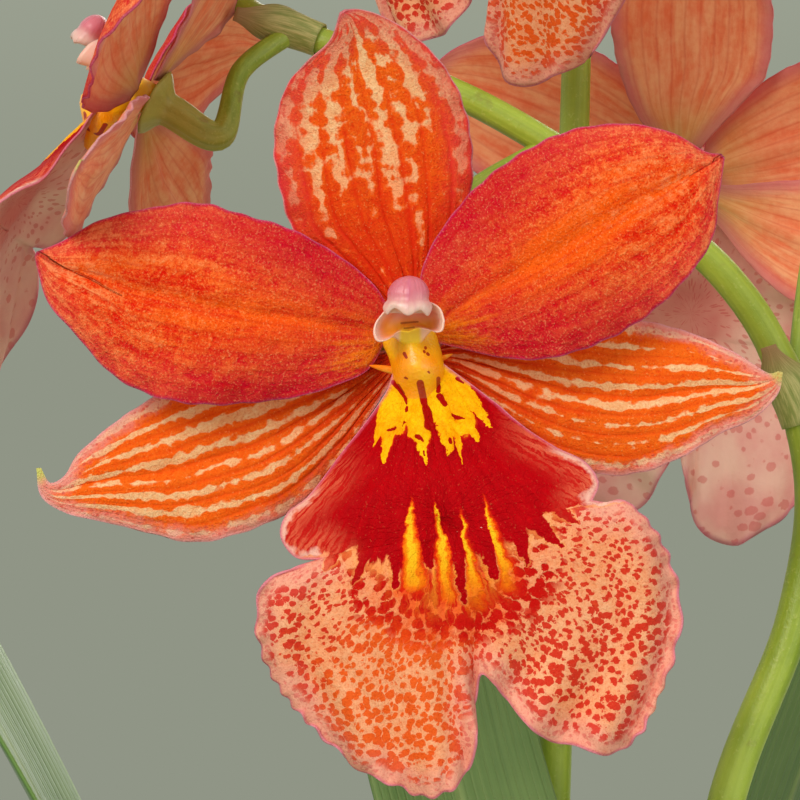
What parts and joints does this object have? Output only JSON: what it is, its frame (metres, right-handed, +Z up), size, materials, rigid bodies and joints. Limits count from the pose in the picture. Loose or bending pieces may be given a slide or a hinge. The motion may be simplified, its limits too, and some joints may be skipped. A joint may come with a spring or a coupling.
{
  "type": "potted cambria orchid",
  "caption": "Flowering cambria orchid in a plain pot: strap leaves on pseudobulbs, two arching spikes with open two-lobed red-orange blooms and buds",
  "frame": {"origin": "centre of the pot's flat underside, on the surface it stands on", "axes": "+Z up through the pot, -Y towards the viewer whom the near bloom faces, +X to that viewer's right"},
  "size_m": [0.4736, 0.2246, 0.5713],
  "materials": {
    "glazed_pot": "off-white glazed stoneware, glossy, slightly uneven",
    "bark_mix": "damp composted bark chips, matt, rough",
    "pseudobulb": "smooth waxy green skin with shallow furrows and papery sheath scars",
    "leaf": "satin strap leaf, mid green, paler along the midrib",
    "flower_stem": "smooth yellow-green stalk, slightly waxy",
    "sepal": "orange-red broken by cream stripes and blotches along the veins, pink rim, fine sparkle",
    "petal": "red-orange with fine darker veins and crimson rim, fine sparkle",
    "lip": "crimson heart flaming into yellow, peach lobes with red-orange spots, pink scalloped rim",
    "column": "pale salmon, translucent, with yellow foot",
    "anther_cap": "lilac-pink above, white below",
    "bud": "green-bronze flushed orange-red"
  },
  "bodies": {
    "root": {"pot": "glazed_pot", "potting_mix": "bark_mix", "pseudobulb_1": "pseudobulb", "pseudobulb_2": "pseudobulb", "pseudobulb_3": "pseudobulb", "pseudobulb_4": "pseudobulb", "leaf_1": "leaf", "leaf_2": "leaf", "leaf_3": "leaf", "leaf_4": "leaf", "leaf_5": "leaf", "leaf_6": "leaf", "leaf_7": "leaf", "leaf_8": "leaf", "leaf_9": "leaf", "leaf_10": "leaf", "leaf_11": "leaf", "dorsal_sepal": "sepal", "petal_left": "petal", "petal_right": "petal", "sepal_left": "sepal", "sepal_right": "sepal", "lip": "lip", "column": "column", "anther_cap": "anther_cap", "bloom_2_tepals": "petal", "bloom_2_lip": "lip", "bloom_2_column": "column", "bloom_3_tepals": "petal", "bloom_3_lip": "lip", "bloom_3_column": "column", "bloom_4_tepals": "petal", "bloom_4_lip": "lip", "bloom_4_column": "column", "bloom_5_tepals": "petal", "bloom_5_lip": "lip", "bloom_5_column": "column", "bloom_6_tepals": "petal", "bloom_6_lip": "lip", "bloom_6_column": "column", "flower_spike_front": "flower_stem", "flower_spike_back": "flower_stem", "bud_1": "bud", "bud_2": "bud", "bud_3": "bud", "bud_4": "bud", "bud_5": "bud", "bud_6": "bud"}
  },
  "joints": []
}
